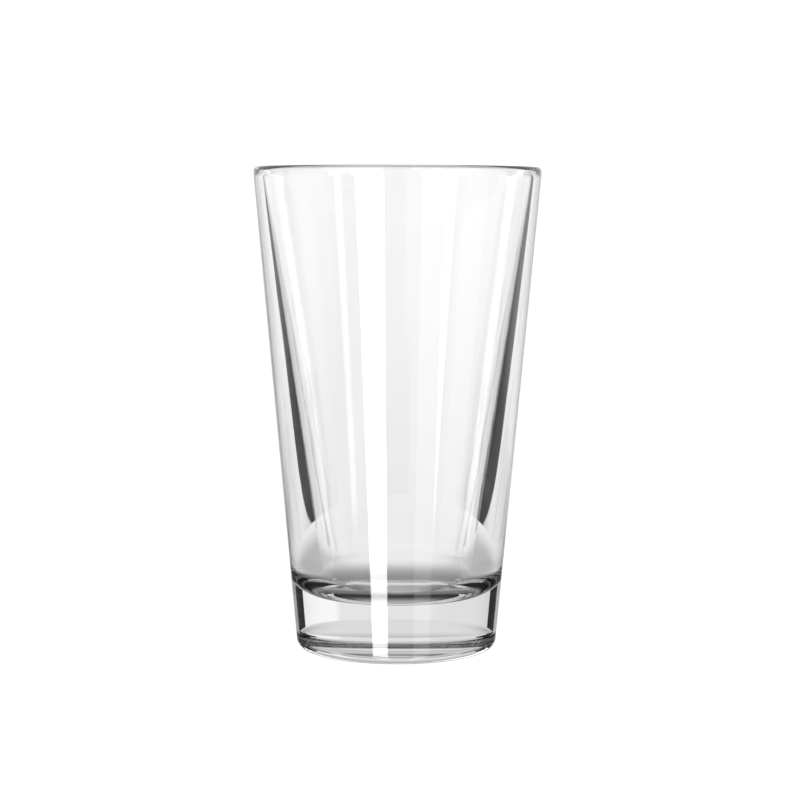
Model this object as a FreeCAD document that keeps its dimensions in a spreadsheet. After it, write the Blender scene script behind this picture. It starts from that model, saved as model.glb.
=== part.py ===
"""Mixing glass: one heavy pressed glass tumbler, millimetres, +Z up, origin under its centre.

The glass is a body of revolution. A slow outer cone is turned first, then the cavity (a steeper
cone down to a nearly flat floor) and the shallow push-up under the base are grooved out of it, and
the heel, the corner of the floor, the bearing ring and the lip are rounded.
"""
import FreeCAD, Part
import math
import os

import Sketcher

doc = FreeCAD.newDocument("MixingGlass")

# ---------------------------------------------------------------- driving dimensions
sheet = doc.addObject("Spreadsheet::Sheet", "Dimensions")
DIMENSIONS = [
    # alias, value, what it is
    ("overall_height", "149.2", "from the surface it stands on to the crest of the lip"),
    ("mouth_radius", "44.45", "outer cone carried up to the overall height"),
    ("foot_radius", "30.8", "outer cone carried down to the surface it stands on"),
    ("lip_band", "3.0", "height of the fire-polished band below the crest"),
    ("lip_set_in", "0.2", "how far the top of that band leans in from the outer cone"),
    ("lip_outer_rounding", "1.4", "radius of the lip outside"),
    ("lip_inner_rounding", "1.1", "radius of the lip inside"),
    ("cavity_mouth_radius", "41.85", "inner cone carried up to the overall height"),
    ("cavity_foot_radius", "22.55", "inner cone carried down to the level of the cavity floor"),
    ("floor_height", "16.8", "lowest point of the cavity floor"),
    ("floor_rise", "0.6", "how far the dished floor rises to the corner it makes with the wall"),
    ("corner_rounding", "10.5", "radius between the floor and the wall inside"),
    ("heel_rounding", "3.2", "radius between the underside and the outer wall"),
    ("push_up_radius", "24.5", "inner edge of the ring that the glass stands on"),
    ("push_up_height", "1.6", "depth of the hollow under the base, at the centre"),
    ("push_up_rounding", "1.2", "radius at the inner edge of the ring that the glass stands on"),
]
sheet.set("A1", "alias")
sheet.set("B1", "millimetres")
sheet.set("C1", "meaning")
for row, (alias, value, meaning) in enumerate(DIMENSIONS, start=2):
    sheet.set(f"A{row}", alias)
    sheet.set(f"B{row}", value)
    sheet.set(f"C{row}", meaning)
    sheet.setAlias(f"B{row}", alias)
doc.recompute()


def size(alias):
    """The value of one driving dimension, for a sketch's first guess and for finding edges."""
    return float(sheet.get(alias))


# ---------------------------------------------------------------- sketch and feature helpers
def sketch_on_xz(body, name):
    """A new sketch on the body's own XZ plane: its x is the radius and its y is the height."""
    sketch = body.newObject("Sketcher::SketchObject", name)
    plane = [item for item in body.Origin.OriginFeatures if item.Role == "XZ_Plane"][0]
    sketch.AttachmentSupport = [(plane, "")]
    sketch.MapMode = "FlatFace"
    return sketch


def closed_outline(sketch, points):
    """Straight lines through the points and back to the first, joined end to end."""
    corners = [FreeCAD.Vector(x, y, 0) for x, y in points]
    count = len(corners)
    for index in range(count):
        sketch.addGeometry(Part.LineSegment(corners[index], corners[(index + 1) % count]))
    for index in range(count):
        sketch.addConstraint(Sketcher.Constraint("Coincident", index, 2, (index + 1) % count, 1))


def bind_point(sketch, line, x_expression, y_expression):
    """Hold the start point of a line at the given radius and height; None leaves it on an axis."""
    for kind, expression in (("DistanceX", x_expression), ("DistanceY", y_expression)):
        if expression is None:
            axis = -2 if kind == "DistanceX" else -1
            sketch.addConstraint(Sketcher.Constraint("PointOnObject", line, 1, axis))
            continue
        number = sketch.addConstraint(Sketcher.Constraint(kind, -1, 1, line, 1, 1.0))
        sketch.setExpression(f"Constraints[{number}]", expression)


def turn(body, kind, name, sketch):
    """A full turn of the sketch about the glass's own axis, added or grooved out."""
    feature = body.newObject(kind, name)
    feature.Profile = sketch
    feature.ReferenceAxis = (sketch, ["V_Axis"])
    feature.Angle = 360
    doc.recompute()
    return feature


def ring_edge(shape, radius, height):
    """The name of the circular edge nearest to the given radius and height."""
    def miss(edge):
        return math.hypot(edge.Curve.Radius - radius, edge.Curve.Center.z - height)

    rings = [(miss(edge), f"Edge{number}") for number, edge in enumerate(shape.Edges, start=1)
             if not edge.Degenerated and isinstance(edge.Curve, Part.Circle)]
    distance, name = min(rings)
    if distance > 0.05:
        raise RuntimeError(f"no ring at radius {radius:.2f}, height {height:.2f}")
    return name


def round_ring(body, name, alias, radius, height):
    """Round one circular edge with the radius that the sheet gives."""
    base = body.Tip
    fillet = body.newObject("PartDesign::Fillet", name)
    fillet.Base = (base, [ring_edge(base.Shape, radius, height)])
    fillet.Radius = size(alias)
    fillet.setExpression("Radius", f"Dimensions.{alias}")
    doc.recompute()
    return fillet


# ---------------------------------------------------------------- mixing glass
glass = doc.addObject("PartDesign::Body", "MixingGlass")
glass.Label = "mixing_glass"
glass.Placement = FreeCAD.Placement()

height = size("overall_height")
band_foot = height - size("lip_band")
cone_slope = (size("mouth_radius") - size("foot_radius")) / height

# Outer form: the cone, and the lip band that leans in by a hair above it.
outer = sketch_on_xz(glass, "OuterProfile")
closed_outline(outer, [
    (0, 0),
    (size("foot_radius"), 0),
    (size("mouth_radius") - size("lip_band") * cone_slope, band_foot),
    (size("mouth_radius") - size("lip_set_in"), height),
    (0, height),
])
bind_point(outer, 0, None, None)
bind_point(outer, 1, "Dimensions.foot_radius", None)
bind_point(outer, 2,
           "Dimensions.mouth_radius - Dimensions.lip_band"
           " * (Dimensions.mouth_radius - Dimensions.foot_radius) / Dimensions.overall_height",
           "Dimensions.overall_height - Dimensions.lip_band")
bind_point(outer, 3, "Dimensions.mouth_radius - Dimensions.lip_set_in", "Dimensions.overall_height")
bind_point(outer, 4, None, "Dimensions.overall_height")
turn(glass, "PartDesign::Revolution", "OuterForm", outer)

# Cavity: a cone down to the floor, which is dished like a saucer: an arc from its centre to the wall.
cavity = sketch_on_xz(glass, "CavityProfile")
floor_rim = size("floor_height") + size("floor_rise")
dish_radius = (size("cavity_foot_radius") ** 2 + size("floor_rise") ** 2) / (2 * size("floor_rise"))
dish_centre = FreeCAD.Vector(0, size("floor_height") + dish_radius, 0)
corner = FreeCAD.Vector(size("cavity_foot_radius"), floor_rim, 0)
corner_angle = math.atan2(corner.y - dish_centre.y, corner.x)
closed = [
    Part.ArcOfCircle(Part.Circle(dish_centre, FreeCAD.Vector(0, 0, 1), dish_radius),
                     -math.pi / 2, corner_angle),
    Part.LineSegment(corner, FreeCAD.Vector(size("cavity_mouth_radius"), height, 0)),
    Part.LineSegment(FreeCAD.Vector(size("cavity_mouth_radius"), height, 0),
                     FreeCAD.Vector(0, height, 0)),
    Part.LineSegment(FreeCAD.Vector(0, height, 0), FreeCAD.Vector(0, size("floor_height"), 0)),
]
for piece in closed:
    cavity.addGeometry(piece)
for index in range(len(closed)):
    following = (index + 1) % len(closed)
    cavity.addConstraint(Sketcher.Constraint("Coincident", index, 2, following, 1))
cavity.addConstraint(Sketcher.Constraint("PointOnObject", 0, 3, -2))
bind_point(cavity, 0, None, "Dimensions.floor_height")
bind_point(cavity, 1, "Dimensions.cavity_foot_radius",
           "Dimensions.floor_height + Dimensions.floor_rise")
bind_point(cavity, 2, "Dimensions.cavity_mouth_radius", "Dimensions.overall_height")
bind_point(cavity, 3, None, "Dimensions.overall_height")
turn(glass, "PartDesign::Groove", "Cavity", cavity)

# Push-up: the shallow hollow under the base, which leaves a ring to stand on.
push_up = sketch_on_xz(glass, "PushUpProfile")
rise = size("push_up_height")
dome_radius = (size("push_up_radius") ** 2 + rise ** 2) / (2 * rise)
dome_centre = FreeCAD.Vector(0, rise - dome_radius, 0)
ring_angle = math.atan2(-dome_centre.y, size("push_up_radius"))
hollow = [
    Part.LineSegment(FreeCAD.Vector(0, 0, 0), FreeCAD.Vector(size("push_up_radius"), 0, 0)),
    Part.ArcOfCircle(Part.Circle(dome_centre, FreeCAD.Vector(0, 0, 1), dome_radius),
                     ring_angle, math.pi / 2),
    Part.LineSegment(FreeCAD.Vector(0, rise, 0), FreeCAD.Vector(0, 0, 0)),
]
for piece in hollow:
    push_up.addGeometry(piece)
for index in range(len(hollow)):
    following = (index + 1) % len(hollow)
    push_up.addConstraint(Sketcher.Constraint("Coincident", index, 2, following, 1))
push_up.addConstraint(Sketcher.Constraint("PointOnObject", 1, 3, -2))
bind_point(push_up, 0, None, None)
bind_point(push_up, 1, "Dimensions.push_up_radius", None)
bind_point(push_up, 2, None, "Dimensions.push_up_height")
turn(glass, "PartDesign::Groove", "PushUp", push_up)

# Roundings.
round_ring(glass, "CornerRounding", "corner_rounding", size("cavity_foot_radius"), floor_rim)
round_ring(glass, "HeelRounding", "heel_rounding", size("foot_radius"), 0)
round_ring(glass, "PushUpRounding", "push_up_rounding", size("push_up_radius"), 0)
round_ring(glass, "LipOuterRounding", "lip_outer_rounding",
           size("mouth_radius") - size("lip_set_in"), height)
round_ring(glass, "LipInnerRounding", "lip_inner_rounding", size("cavity_mouth_radius"), height)

# ---------------------------------------------------------------- check and write
doc.recompute()
for item in doc.Objects:
    if "Invalid" in item.State or "Error" in item.State:
        raise RuntimeError(f"{item.Name} failed: {item.State}")
if glass.Shape.isNull() or not glass.Shape.isValid() or len(glass.Shape.Solids) != 1:
    raise RuntimeError("mixing_glass isn't one valid solid")

GLASS_DENSITY = 2.5e-6     # kilograms in a cubic millimetre of soda-lime glass
box = glass.Shape.optimalBoundingBox()
print(f"mixing_glass: {box.XLength:.2f} x {box.YLength:.2f} x {box.ZLength:.2f} mm, "
      f"{glass.Shape.Volume / 1000:.1f} ml of glass, "
      f"{glass.Shape.Volume * GLASS_DENSITY:.3f} kg")

os.makedirs("parts", exist_ok=True)
glass.Shape.exportStep(f"parts/{glass.Label}.step")
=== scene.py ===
import math
import bpy
from mathutils import Matrix, Vector


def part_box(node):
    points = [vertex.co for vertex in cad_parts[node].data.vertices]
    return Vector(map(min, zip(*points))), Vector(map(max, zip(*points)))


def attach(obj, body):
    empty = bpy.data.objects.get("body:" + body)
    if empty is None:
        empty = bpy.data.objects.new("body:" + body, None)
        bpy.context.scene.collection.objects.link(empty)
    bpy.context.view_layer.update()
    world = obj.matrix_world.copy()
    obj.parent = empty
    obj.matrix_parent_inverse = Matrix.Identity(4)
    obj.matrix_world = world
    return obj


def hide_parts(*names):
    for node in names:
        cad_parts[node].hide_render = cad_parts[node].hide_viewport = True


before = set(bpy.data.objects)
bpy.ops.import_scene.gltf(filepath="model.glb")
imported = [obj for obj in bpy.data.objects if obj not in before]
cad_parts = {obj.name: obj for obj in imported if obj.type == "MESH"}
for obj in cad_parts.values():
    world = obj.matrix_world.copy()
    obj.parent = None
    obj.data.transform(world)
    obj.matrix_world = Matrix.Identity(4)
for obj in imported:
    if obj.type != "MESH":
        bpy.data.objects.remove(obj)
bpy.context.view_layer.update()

MM = 0.001


# ---- The view -------------------------------------------------------------------------------
# The glass is seen from just under the level of its rim, from most of a metre away, through a
# long lens, so its sides hardly converge more than they really do.
CAMERA_DISTANCE = 689 * MM
CAMERA_HEIGHT = 138.4 * MM
CAMERA_PITCH = math.radians(5.07)
CAMERA_ROLL = math.radians(-0.17)
CAMERA_YAW = math.radians(0.08)

view = bpy.data.cameras.new("view")
view.sensor_width = 36
view.lens = 100.35
view.clip_start = 10 * MM
camera = bpy.data.objects.new("view", view)
bpy.context.scene.collection.objects.link(camera)
bpy.context.scene.camera = camera
camera.matrix_world = (
    Matrix.Translation((0, -CAMERA_DISTANCE, CAMERA_HEIGHT))
    @ Matrix.Rotation(-CAMERA_YAW, 4, "Z")
    @ Matrix.Rotation(math.pi / 2 - CAMERA_PITCH, 4, "X")
    @ Matrix.Rotation(-CAMERA_ROLL, 4, "Z")
)


# ---- Mixing glass ---------------------------------------------------------------------------
# One heavy tumbler, pressed in a single go from clear soda-lime glass and fire-polished: a slow
# outer cone, a steeper cavity down to a nearly flat floor, a thick solid base with a shallow
# push-up under it, and a rounded lip. It stands on the ring round the push-up.
foot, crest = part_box("mixing_glass")
HEIGHT = crest.z - foot.z
MOUTH_RADIUS = 44.45 * MM
FOOT_RADIUS = 30.8 * MM
CONE_SLOPE = (MOUTH_RADIUS - FOOT_RADIUS) / HEIGHT
LIP_BAND = 3.0 * MM
LIP_SET_IN = 0.2 * MM
CAVITY_MOUTH_RADIUS = 41.85 * MM
CAVITY_SLOPE = 0.1466
FLOOR_HEIGHT = 16.8 * MM
FLOOR_RISE = 0.6 * MM
CORNER_ROUNDING = 10.5 * MM
HEEL_ROUNDING = 3.2 * MM
PUSH_UP_RADIUS = 24.5 * MM
PUSH_UP_HEIGHT = 1.6 * MM
PUSH_UP_ROUNDING = 1.2 * MM
LIP_BAND_ROUNDING = 8.0 * MM
LIP_OUTER_ROUNDING = 1.4 * MM
LIP_INNER_ROUNDING = 1.1 * MM
STEPS_ROUND = 256
DEGREES_PER_STEP = 2.0
FEWEST_STEPS = 8
SHORT_RUN = 0.25 * MM


def place(radius, height):
    return Vector((radius, 0, height))


class Outline:
    """A half section drawn in edit mode, point by point, in the plane of X and Z."""

    def __init__(self, radius, height):
        bpy.ops.object.select_all(action="DESELECT")
        bpy.ops.mesh.primitive_plane_add(size=MM, location=(radius, 0, height))
        bpy.ops.object.mode_set(mode="EDIT")
        bpy.ops.mesh.select_mode(type="VERT")
        bpy.ops.mesh.merge(type="CENTER")
        self.tip = place(radius, height)

    def point(self, place):
        bpy.ops.mesh.extrude_vertices_move(TRANSFORM_OT_translate={"value": place - self.tip})
        self.tip = place

    def line(self, radius, height):
        """A straight run, with a short step at each end so that the shading stays straight."""
        end = place(radius, height)
        run = end - self.tip
        if run.length > 4 * SHORT_RUN:
            start = self.tip
            self.point(start + run.normalized() * SHORT_RUN)
            self.point(end - run.normalized() * SHORT_RUN)
        self.point(end)

    def arc(self, centre, angle):
        """A round stretch about a centre; a positive angle turns from +X towards +Z."""
        steps = max(FEWEST_STEPS, math.ceil(abs(math.degrees(angle)) / DEGREES_PER_STEP))
        bpy.ops.mesh.spin(steps=steps, angle=angle, center=centre, axis=(0, 1, 0))
        self.tip = centre + Matrix.Rotation(-angle, 3, "Y") @ (self.tip - centre)

    def corner(self, corner, following, radius):
        """A straight run to a corner, which is rounded towards the point that follows it."""
        arriving = (self.tip - corner).normalized()
        leaving = (following - corner).normalized()
        half = arriving.angle(leaving) / 2
        start = corner + arriving * (radius / math.tan(half))
        centre = corner + (arriving + leaving).normalized() * (radius / math.sin(half))
        turn = math.copysign(math.pi - 2 * half, arriving.cross(leaving).y)
        self.line(start.x, start.z)
        self.arc(centre, turn)


# Under the base: the dome of the push-up, then the ring that the glass stands on.
dome_radius = (PUSH_UP_RADIUS ** 2 + PUSH_UP_HEIGHT ** 2) / (2 * PUSH_UP_HEIGHT)
dome_centre = place(0, PUSH_UP_HEIGHT - dome_radius)
ring_centre = place(
    math.sqrt((dome_radius + PUSH_UP_ROUNDING) ** 2 - (PUSH_UP_ROUNDING - dome_centre.z) ** 2),
    PUSH_UP_ROUNDING)
dome_angle = math.atan2(ring_centre.x, ring_centre.z - dome_centre.z)
outline = Outline(0, PUSH_UP_HEIGHT)
outline.arc(dome_centre, -dome_angle)
outline.arc(ring_centre, dome_angle)

# Up the outside: the heel, the cone, the band below the lip, over the lip and into the cavity.
band_foot = place(MOUTH_RADIUS - LIP_BAND * CONE_SLOPE, HEIGHT - LIP_BAND)
lip_outside = place(MOUTH_RADIUS - LIP_SET_IN, HEIGHT)
lip_inside = place(CAVITY_MOUTH_RADIUS, HEIGHT)
floor_rim = place(CAVITY_MOUTH_RADIUS - CAVITY_SLOPE * (HEIGHT - FLOOR_HEIGHT - FLOOR_RISE),
                  FLOOR_HEIGHT + FLOOR_RISE)
outline.corner(place(FOOT_RADIUS, 0), band_foot, HEEL_ROUNDING)
outline.corner(band_foot, lip_outside, LIP_BAND_ROUNDING)
outline.corner(lip_outside, lip_inside, LIP_OUTER_ROUNDING)
outline.corner(lip_inside, floor_rim, LIP_INNER_ROUNDING)

# Down the cavity wall, round the corner and over the dished floor to the axis. The corner's
# circle touches the wall and lies inside the much larger circle of the dish.
dish_radius = (floor_rim.x ** 2 + FLOOR_RISE ** 2) / (2 * FLOOR_RISE)
dish_centre = place(0, FLOOR_HEIGHT + dish_radius)
down = (floor_rim - lip_inside).normalized()
inward = place(down.z, -down.x)
lowest = floor_rim + inward * CORNER_ROUNDING - dish_centre
along = lowest.dot(down)
lift = along - math.sqrt(
    along ** 2 - lowest.length_squared + (dish_radius - CORNER_ROUNDING) ** 2)
to_corner = lowest - down * lift
corner_centre = dish_centre + to_corner
outline.line(*(corner_centre - inward * CORNER_ROUNDING).xz)
outline.arc(corner_centre, -to_corner.angle(-inward))
outline.arc(dish_centre, -math.atan2(to_corner.x, -to_corner.z))

# Turned once round, and closed at the seam and at both poles.
bpy.ops.mesh.select_all(action="SELECT")
bpy.ops.mesh.spin(steps=STEPS_ROUND, angle=math.tau, center=(0, 0, 0), axis=(0, 0, 1))
bpy.ops.mesh.select_all(action="SELECT")
bpy.ops.mesh.remove_doubles(threshold=0.01 * MM)
bpy.ops.mesh.normals_make_consistent(inside=False)
bpy.ops.object.mode_set(mode="OBJECT")
glass = bpy.context.object
glass.name = glass.data.name = "clear_mixing_glass"
bpy.ops.object.transform_apply(location=True, rotation=True, scale=True)
bpy.ops.object.shade_smooth()


class Value:
    """A number in a node tree: arithmetic on it adds the Math nodes."""

    def __init__(self, nodes, socket):
        self.nodes = nodes
        self.socket = socket

    def math(self, operation, *terms):
        return self.nodes.add("ShaderNodeMath", {"operation": operation}, dict(enumerate(terms)))

    def __add__(self, other):
        return self.math("ADD", self, other)

    def __radd__(self, other):
        return self.math("ADD", other, self)

    def __sub__(self, other):
        return self.math("SUBTRACT", self, other)

    def __rsub__(self, other):
        return self.math("SUBTRACT", other, self)

    def __mul__(self, other):
        return self.math("MULTIPLY", self, other)

    def __rmul__(self, other):
        return self.math("MULTIPLY", other, self)

    def __neg__(self):
        return self.math("MULTIPLY", self, -1)

    def step(self, low, high):
        """0 below low and 1 above high, with an S between them."""
        return self.nodes.add("ShaderNodeMapRange", {"interpolation_type": "SMOOTHSTEP"},
                              {"Value": self, "From Min": low, "From Max": high})

    def between(self, low, high, soft):
        """1 from low to high and 0 outside, with soft edges."""
        return self.step(low - soft, low + soft) * (1 - self.step(high - soft, high + soft))

    def curve(self, stops, scale=1.0):
        """Straight runs through the stops, each (value, height), with heights from 0 to scale."""
        low, high = stops[0][0], stops[-1][0]
        ramp = [((value - low) / (high - low), height / scale) for value, height in stops]
        return scale * self.nodes.add("ShaderNodeValToRGB", {"stops": ramp},
                                      {"Fac": (self - low) * (1 / (high - low))})


class Nodes:
    """The node tree of one material or of the light round the glass, emptied and filled again."""

    def __init__(self, owner):
        owner.use_nodes = True
        self.tree = owner.node_tree
        self.tree.nodes.clear()

    def add(self, kind, settings=None, sockets=None, output=0):
        node = self.tree.nodes.new(kind)
        for name, setting in (settings or {}).items():
            if name == "stops":
                points = node.color_ramp.elements
                while len(points) < len(setting):
                    points.new(1)
                for point, (position, level) in zip(points, setting):
                    point.position = position
                    point.color = (level, level, level, 1)
            else:
                setattr(node, name, setting)
        for name, value in (sockets or {}).items():
            if isinstance(value, Value):
                self.tree.links.new(value.socket, node.inputs[name])
            else:
                node.inputs[name].default_value = value
        return Value(self, node.outputs[output]) if node.outputs else node


# The glass is colourless and takes a little of the light where it is thick. Pressing leaves a
# slow ripple in its walls, and standing on bars has dulled the ring under it.
REFRACTIVE_INDEX = 1.52
LIGHT_LOST_PER_METRE = 4.2
RIPPLE_HEIGHT = 0.006 * MM
clear_glass = bpy.data.materials.new("clear_glass")
nodes = Nodes(clear_glass)
surface = nodes.add("ShaderNodeTexCoord", output="Object")
across = nodes.add("ShaderNodeSeparateXYZ", {}, {"Vector": surface}, output="X") * (1 / MM)
deep = nodes.add("ShaderNodeSeparateXYZ", {}, {"Vector": surface}, output="Y") * (1 / MM)
above_ring = nodes.add("ShaderNodeSeparateXYZ", {}, {"Vector": surface}, output="Z") * (1 / MM)
from_axis = across.math("SQRT", across * across + deep * deep)
scuffs = nodes.add("ShaderNodeTexNoise", {}, {"Vector": surface, "Scale": 900.0, "Detail": 3.0})
worn_ring = from_axis.between(25.4, 28.0, 0.3) * (1 - above_ring.step(0.02, 0.12))
ripple = nodes.add("ShaderNodeTexNoise", {}, {"Vector": surface, "Scale": 45.0, "Detail": 1.0})
finish = nodes.add("ShaderNodeBsdfPrincipled", {}, {
    "Base Color": (1, 1, 1, 1),
    "Roughness": worn_ring * (0.1 + 0.2 * scuffs),
    "IOR": REFRACTIVE_INDEX,
    "Transmission Weight": 1.0,
    "Normal": nodes.add("ShaderNodeBump", {}, {
        "Strength": 1.0, "Distance": RIPPLE_HEIGHT, "Height": ripple}),
})
body = nodes.add("ShaderNodeVolumeAbsorption", {}, {
    "Color": (0, 0, 0, 1), "Density": LIGHT_LOST_PER_METRE})
nodes.add("ShaderNodeOutputMaterial", {}, {"Surface": finish, "Volume": body})
glass.data.materials.append(clear_glass)

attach(glass, "root")
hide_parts("mixing_glass")


# ---- Floor ----------------------------------------------------------------------------------
# A plain white sweep that the glass stands on. It is so evenly bright that it is pure white, apart
# from painted shade close round the foot, on a glowing disc which shows only through the glass.
FLOOR_DROP = 0.2 * MM
FLOOR_SIZE = 8.0
SHADE_RADIUS = 130 * MM

bpy.ops.object.select_all(action="DESELECT")
bpy.ops.mesh.primitive_plane_add(size=FLOOR_SIZE, location=(0, 0, -FLOOR_DROP))
sweep = bpy.context.object
sweep.name = "floor"
white = bpy.data.materials.new("white_sweep")
nodes = Nodes(white)
nodes.add("ShaderNodeOutputMaterial", {}, {"Surface": nodes.add(
    "ShaderNodeEmission", {}, {"Color": (1, 1, 1, 1), "Strength": 1.04})})
sweep.data.materials.append(white)
sweep.visible_diffuse = sweep.visible_glossy = sweep.visible_transmission = False
sweep.visible_shadow = False

# The disc round the foot glows with painted shade and a painted ring of light, and is seen only
# through the glass.
bpy.ops.object.select_all(action="DESELECT")
bpy.ops.mesh.primitive_circle_add(vertices=96, radius=SHADE_RADIUS, fill_type="NGON",
                                  location=(0, 0, -FLOOR_DROP))
shade = bpy.context.object
shade.name = "painted_shade_round_the_foot"
shaded = bpy.data.materials.new("shaded_sweep")
nodes = Nodes(shaded)
place_on_floor = nodes.add("ShaderNodeTexCoord", output="Object")
from_axis = nodes.add("ShaderNodeVectorMath", {"operation": "LENGTH"}, {0: place_on_floor},
                      output="Value") * (1 / MM)
sideways = nodes.add("ShaderNodeSeparateXYZ", {}, {"Vector": place_on_floor}, output="X")
sideways = sideways.math("ABSOLUTE", sideways) * (1 / MM)
# Painted shade on the disc: dim under the middle of the push-up and darkest at the ring the glass
# stands on, a painted ring of light thrown round the heel, lighter outwards to full white, and
# darker towards the sides except near its rim.
painted_shade_under_push_up = 0.5 - 0.48 * from_axis.step(3, 22)
painted_light_thrown_by_heel = 0.18 * from_axis.step(22, 28) + 0.1 * from_axis.between(31, 33, 2)
painted_shade_round_foot = 0.78 * from_axis.step(33, 86)
painted_shade_at_sides = 1 - 0.45 * sideways.step(15, 85) * (1 - from_axis.step(104, 129))
nodes.add("ShaderNodeOutputMaterial", {}, {"Surface": nodes.add(
    "ShaderNodeEmission", {}, {
        "Color": (1, 1, 1, 1),
        "Strength": painted_shade_at_sides * (painted_shade_under_push_up + painted_light_thrown_by_heel + painted_shade_round_foot),
    })})
shade.data.materials.append(shaded)
shade.visible_camera = shade.visible_diffuse = shade.visible_glossy = False
shade.visible_shadow = False


# ---- Studio light ---------------------------------------------------------------------------
# Directions round the glass, in degrees. Through the glass one sees the lit sweep, held between
# dark flags that draw its edges. Off its surface one sees a dimmer room with strip lights in it.
# Light is followed through 24 surfaces at most, of which 8 may reflect it.
MOST_SURFACES = 24
MOST_REFLECTIONS = 8
studio = bpy.data.worlds.new("studio")
bpy.context.scene.world = studio
bpy.context.scene.view_settings.view_transform = "Standard"
bpy.context.scene.cycles.max_bounces = MOST_SURFACES
bpy.context.scene.cycles.glossy_bounces = MOST_REFLECTIONS
bpy.context.scene.cycles.transmission_bounces = MOST_SURFACES
nodes = Nodes(studio)
direction = nodes.add("ShaderNodeTexCoord", output="Generated")


def part(axis):
    return nodes.add("ShaderNodeSeparateXYZ", {}, {"Vector": direction}, output=axis)


across, ahead, up = (part(axis) for axis in "XYZ")
azimuth = ahead.math("DEGREES", ahead.math("ARCTAN2", ahead, across))
elevation = up.math("DEGREES", up.math("ARCSINE", up))


def turned_from(centre):
    """How far to the left of a direction one looks, from -180 to 180."""
    return azimuth.math("WRAP", azimuth - centre, 180, -180)


# Where the flags start to the left and to the right of the sweep, and where the room beyond
# them shows again. The flags stand on the floor, lean out a little, and are drawn back at the
# foot. Each is (its direction, its lean, the elevation under which it is drawn back).
LEFT_FLAG = (36.5, 3.5, -16.5)
RIGHT_FLAG = (32.5, 2.5, -15.5)
FLAG_TOP = 53
DRAWN_BACK = 50
NOTCH = 12


def flag_edge(upright, lean, knee):
    leaning = lean * (1 - elevation.step(-15, -10))
    foot_of_flag = DRAWN_BACK * (1 - elevation.step(-26, knee))
    top_of_flag = (FLAG_TOP - upright) * elevation.step(-6.4, -5)
    notch = NOTCH * elevation.between(3, 12, 3)
    return upright + leaning + foot_of_flag + top_of_flag - notch


left_flag = flag_edge(*LEFT_FLAG)
right_flag = flag_edge(*RIGHT_FLAG)
flag_end = elevation.curve([(-20, 90), (-18, 68), (-10, 39), (-7, 38), (-6, 67)], 100)
FLAG_LEVEL = 0.012
FLAG_SOFTNESS = 0.6
behind = turned_from(90)
turned = behind.math("ABSOLUTE", behind)
window = behind.step(-right_flag - FLAG_SOFTNESS, -right_flag + FLAG_SOFTNESS) * (
    1 - behind.step(left_flag - FLAG_SOFTNESS, left_flag + FLAG_SOFTNESS))
beyond = turned.step(flag_end - 1, flag_end + 3) * behind.curve([
    (-180, 0.1), (-100, 0.1), (-85, 0.7), (0, 0.7), (30, 0.95), (116, 0.95), (119, 0.03),
    (145, 0.03), (150, 0.1), (180, 0.1)])
overhead = elevation.step(20, 21.5)
opening = window.math("MAXIMUM", window, beyond.math("MAXIMUM", beyond, overhead))

# How bright the sweep is: a little less towards its sides where it meets the floor, with fine
# lines in it, two dark rails above it, a brighter panel to the right, and the dark of the room
# above and in front.
sweep_level = elevation.curve([
    (-60, 0.6), (-40, 0.42), (-33, 0.48), (-22, 0.78), (-20, 0.93), (-17, 0.99), (-12, 0.99),
    (-6, 1.07), (-4, 1.08), (3, 1.0), (9, 1.0), (12, 0.87), (16, 0.75), (20, 0.72), (24, 0.85),
    (50, 0.95)], 1.2)
lower_rail = 0.43 * elevation.between(12, 13.5, 0.4)
upper_rail = 0.64 * elevation.between(20, 23, 0.5)
sweep_level = sweep_level * (1 - lower_rail) * (1 - upper_rail)
floor_sides = 0.5 + 0.5 * elevation.step(-22.5, -16.5)
level = sweep_level * (1 - turned.step(22, 36) * (1 - floor_sides))
low = elevation.between(-5.6, 8, 0.4)
level = level + 0.2 * low * behind.between(-56, -24, 2) - 0.07 * low * behind.between(16, 60, 4)
level = level * (1 - 0.95 * turned.step(95, 125) * elevation.between(22, 48, 3))
WALL_LINES = [(16.5, 0.5, 0.18), (23.0, 0.9, 0.3), (29.0, 0.5, 0.2)]
wobbling = turned + 0.9 * elevation.math("SINE", elevation * 2.9)
for middle, half_width, depth in WALL_LINES:
    line = wobbling.between(middle - half_width, middle + half_width, 0.7)
    level = level * (1 - depth * line * elevation.between(-17.5, -8, 1))
through = FLAG_LEVEL + (level - FLAG_LEVEL) * opening

# The same for whoever looks down on the glass from the sides and from the back: the white floor,
# with a flag on each side of what is behind the glass. Each low flag is (its direction left of
# the back, half width, level); the first is only a grey one.
LOW_FLAGS = [(-1, 24, 0.45), (92, 12, 0.03), (180, 14, 0.03), (-90, 12, 0.03)]
FLOOR_LEVEL = 0.97
below = FLOOR_LEVEL
for centre, half_width, flag_level in LOW_FLAGS:
    flag = turned_from(90 + centre).between(-half_width, half_width, 1.5)
    below = below + (flag_level - below) * flag
back_floor = turned_from(315).between(-38, 38, 2) * elevation.between(-25, -9, 3)
through = through.math("MAXIMUM", through, back_floor * FLOOR_LEVEL)
through = through + (below - through) * (1 - elevation.step(-25, -22.5))

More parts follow.
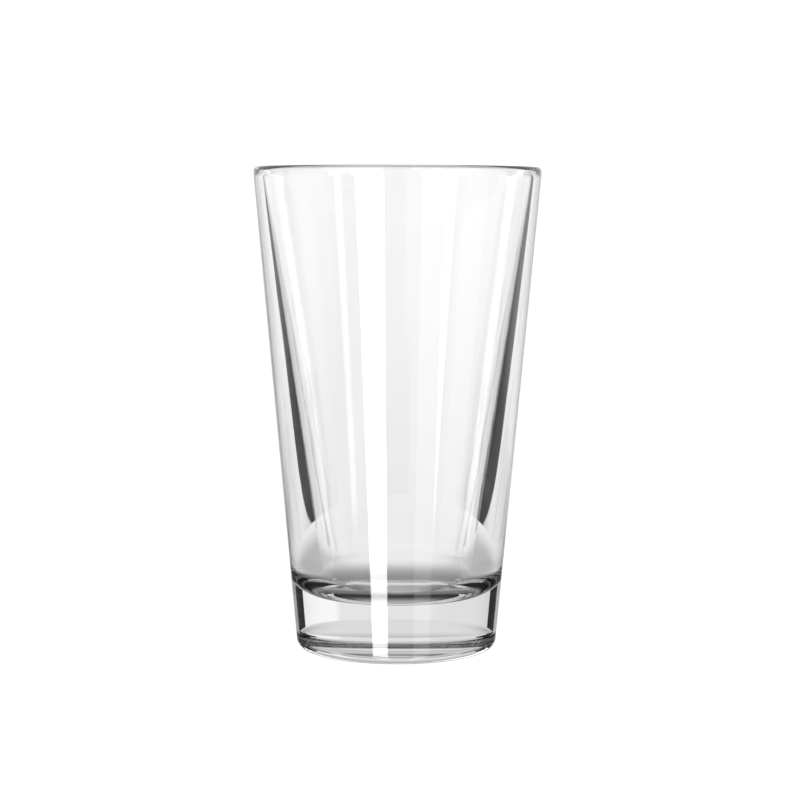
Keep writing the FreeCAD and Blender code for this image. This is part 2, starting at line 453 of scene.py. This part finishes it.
# Off the surface: the room, then the strip lights. Each strip is (its azimuth at the level of
# the foot's reflection, its drift per degree of elevation, half width there, how much wider per
# degree, softness, lower end, softness of that end, brightness).
STRIPS = [
    (208.0, -3.2, 3.6, 0.0, 2.6, -16.0, 1.8, 2.6),
    (228.0, -0.58, 2.8, 0.0, 1.4, -17.8, 1.0, 3.4),
    (251.0, -0.3, 9.0, 0.22, 0.9, -24.3, 0.7, 16.0),
    (299.0, 0.57, 9.2, 0.3, 0.8, -18.4, 0.8, 5.0),
    (299.0, 0.0, 9.5, 0.0, 1.2, -24.3, 0.7, 1.6),
    (341.5, 2.2, 4.0, 0.0, 2.4, -16.0, 1.8, 3.8),
]
STRIP_TOP = 12.0
LOW_STRIPS = [(60.0, 10.0), (118.0, 4.0), (190.0, 8.0), (251.0, 10.0), (300.0, 8.0), (352.0, 4.0)]
LOW_STRIP_BRIGHTNESS = 4.0
high_room = turned.curve([
    (0, 0.9), (50, 0.9), (62, 0.4), (80, 0.28), (100, 0.45), (180, 0.45)])
low_room = turned.curve([
    (0, 0.8), (8, 0.6), (16, 0.3), (28, 0.08), (60, 0.08), (74, 0.25), (90, 0.42), (180, 0.45)])
around = low_room + (high_room - low_room) * elevation.step(-11, -8.5)
for foot_azimuth, drift, half_width, spread, softness, lower_end, end_softness, brightness in STRIPS:
    above_foot = elevation + 20
    middle = turned_from(foot_azimuth) - above_foot * drift
    half = half_width + above_foot * spread
    strip = middle.step(-half - softness, -half + softness) * (
        1 - middle.step(half - softness, half + softness))
    strip = strip * elevation.step(lower_end - end_softness, lower_end + end_softness) * (
        1 - elevation.step(STRIP_TOP - 1, STRIP_TOP + 1))
    around = around + (brightness - around) * strip
for azimuth_of_strip, half_width in LOW_STRIPS:
    strip = turned_from(azimuth_of_strip).between(-half_width, half_width, 1.5)
    strip = strip * (1 - elevation.step(-24.5, -22.5)) * elevation.step(-70, -50)
    around = around + (LOW_STRIP_BRIGHTNESS - around) * strip


def seen_by(ray):
    return nodes.add("ShaderNodeLightPath", output=ray)


PAPER_WHITE = 1.1
light = around + (through - around) * seen_by("Is Transmission Ray")
light = light + (PAPER_WHITE - light) * seen_by("Is Camera Ray")
nodes.add("ShaderNodeOutputWorld", {}, {"Surface": nodes.add(
    "ShaderNodeBackground", {}, {"Color": (1, 1, 1, 1), "Strength": light})})
